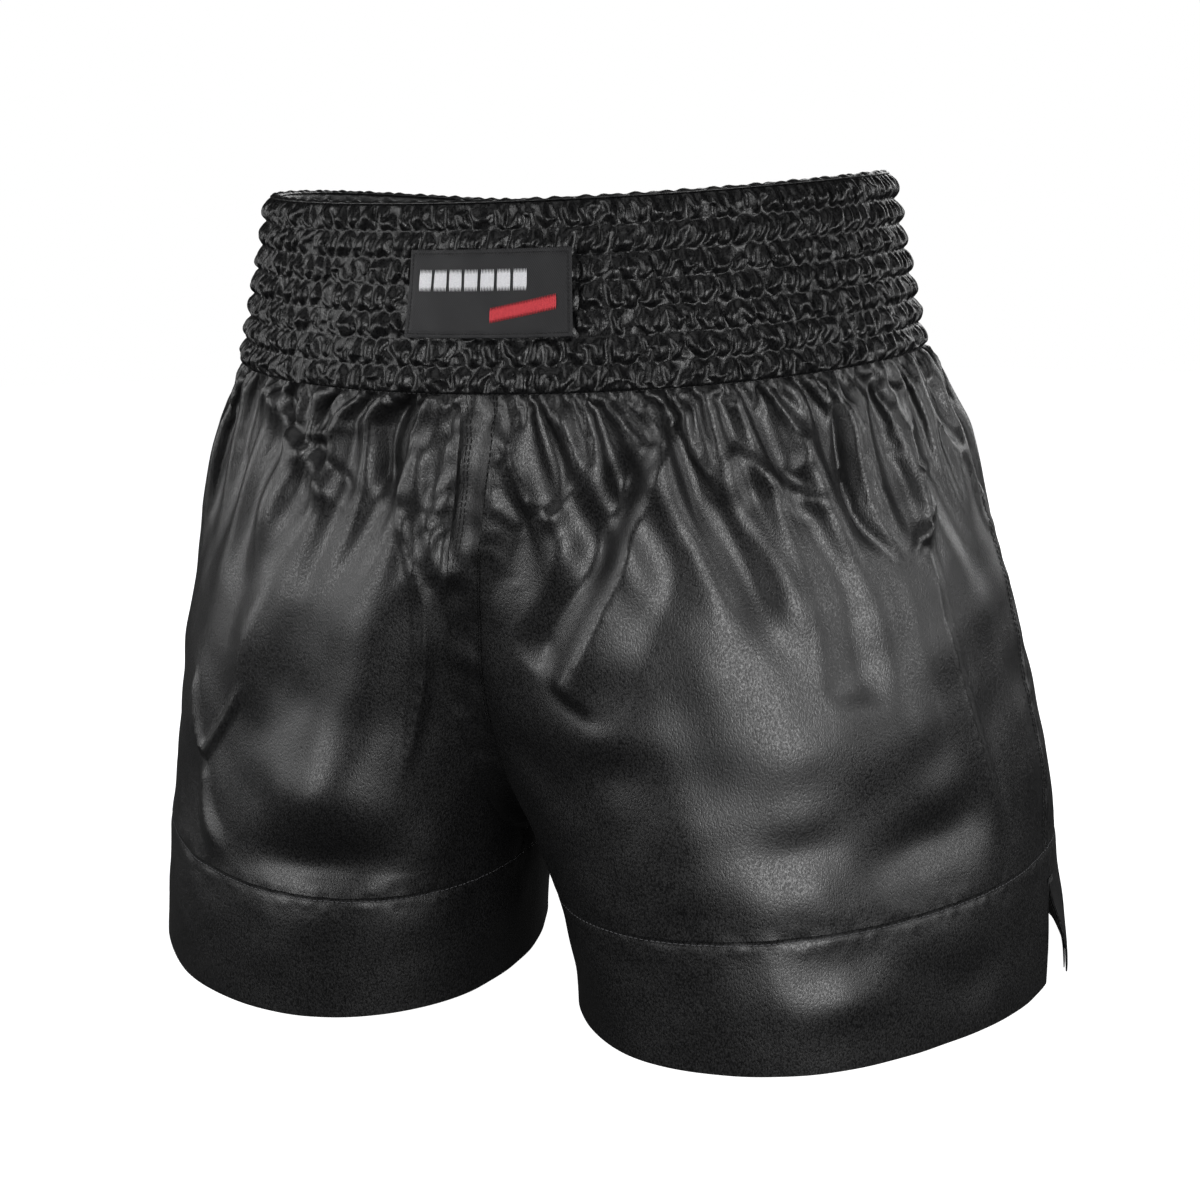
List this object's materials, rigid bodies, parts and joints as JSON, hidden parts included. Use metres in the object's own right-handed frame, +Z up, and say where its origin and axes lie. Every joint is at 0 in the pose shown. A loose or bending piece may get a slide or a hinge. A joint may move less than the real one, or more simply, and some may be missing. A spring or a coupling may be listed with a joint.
{
  "type": "boxing shorts",
  "caption": "Loose black satin boxing shorts with a tall gathered elastic waistband, a small front label, deep stitched hem bands and side vents, standing open as if worn.",
  "frame": {"origin": "middle of the bounding box at its lowest level, where both hems stand", "axes": "+Z up towards the waistband; -Y is the front, with the label; +X is the wearer's left"},
  "size_m": [0.4624, 0.2665, 0.3693],
  "materials": {
    "satin": "soft satin sheen, fine weave",
    "black_thread": "matt twisted thread",
    "grey_thread": "matt twisted thread",
    "elastic": "matt woven elastic",
    "label_twill": "matt twill",
    "white_thread": "woven thread",
    "red_thread": "woven thread"
  },
  "bodies": {
    "root": {"waistband_outer_casing": "satin", "waistband_inner_casing": "satin", "centre_front_strip": "satin", "crotch_gusset": "satin", "centre_back_strip": "satin", "front_panel_left": "satin", "hem_band_front_left": "satin", "hem_facing_front_left": "satin", "back_panel_left": "satin", "hem_band_back_left": "satin", "hem_facing_back_left": "satin", "front_panel_right": "satin", "hem_band_front_right": "satin", "hem_facing_front_right": "satin", "back_panel_right": "satin", "hem_band_back_right": "satin", "hem_facing_back_right": "satin", "waist_seam_stitching": "black_thread", "label_edge_stitching": "black_thread", "casing_stitch_row_1": "black_thread", "casing_stitch_row_2": "black_thread", "casing_stitch_row_3": "black_thread", "casing_stitch_row_4": "black_thread", "casing_stitch_row_5": "black_thread", "casing_stitch_row_6": "black_thread", "side_seam_stitching_left": "black_thread", "inseam_stitching_left": "black_thread", "vent_bartack_left": "black_thread", "side_seam_stitching_right": "black_thread", "inseam_stitching_right": "black_thread", "vent_bartack_right": "black_thread", "hem_stitching_front_left": "grey_thread", "centre_front_stitching_left": "grey_thread", "hem_stitching_back_left": "grey_thread", "centre_back_stitching_left": "grey_thread", "hem_stitching_front_right": "grey_thread", "centre_front_stitching_right": "grey_thread", "hem_stitching_back_right": "grey_thread", "centre_back_stitching_right": "grey_thread", "elastic_tape_1": "elastic", "elastic_tape_2": "elastic", "elastic_tape_3": "elastic", "elastic_tape_4": "elastic", "elastic_tape_5": "elastic", "elastic_tape_6": "elastic", "elastic_tape_7": "elastic", "front_label": "label_twill", "label_white_bar": "white_thread", "blank_care_label": "white_thread", "label_red_bar": "red_thread"}
  },
  "joints": []
}
